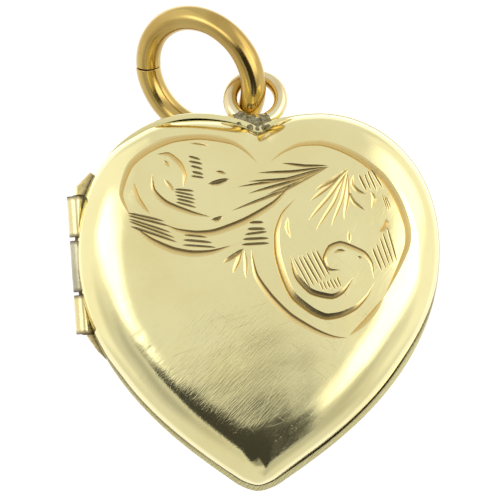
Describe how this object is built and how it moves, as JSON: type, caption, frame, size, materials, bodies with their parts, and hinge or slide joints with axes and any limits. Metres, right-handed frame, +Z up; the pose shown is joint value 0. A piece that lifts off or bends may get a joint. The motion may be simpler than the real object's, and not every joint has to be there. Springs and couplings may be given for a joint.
{
  "type": "heart locket",
  "caption": "Domed heart-shaped locket that opens on a side hinge, with photo recesses inside, a bail loop at the cleft and a jump ring.",
  "frame": {"origin": "centre of the hole through the bail loop", "axes": "+X to the wearer's view right, +Y from the engraved front to the back, +Z up as the locket hangs"},
  "size_m": [0.0206, 0.0077, 0.0269],
  "materials": {
    "gold": "polished, worn pale 9 ct gold",
    "bail_gold": "polished pale gold wire",
    "ring_gold": "polished deep yellow gold wire",
    "solder": "rough grey-green solder",
    "window": "clear film",
    "card": "plain paper"
  },
  "bodies": {
    "back_half": {"back_cover": "gold", "back_rim_band": "gold", "back_photo_frame": "gold", "back_photo_window": "window", "back_photo_card": "card", "hinge_bearer": "gold", "hinge_knuckle_top": "gold", "hinge_knuckle_bottom": "gold", "hinge_pin": "gold", "bail_loop": "bail_gold", "bail_solder": "solder"},
    "front_half": {"front_cover": "gold", "front_rim_band": "gold", "front_photo_frame": "gold", "front_photo_window": "window", "front_photo_card": "card", "hinge_knuckle_middle": "gold", "hinge_solder": "solder"},
    "ring": {"jump_ring": "ring_gold"}
  },
  "joints": [
    {"name": "cover_hinge", "type": "hinge", "parent": "back_half", "child": "front_half", "pos_m": [-0.00974, -0.001, -0.00808], "axis": [0.0698, 0, -0.9976], "range_deg": [0, 145]},
    {"name": "ring_swing", "type": "hinge", "parent": "back_half", "child": "ring", "pos_m": [0, 0, 0], "axis": [0, 0.9063, -0.4226], "range_deg": [-5, 145]}
  ]
}
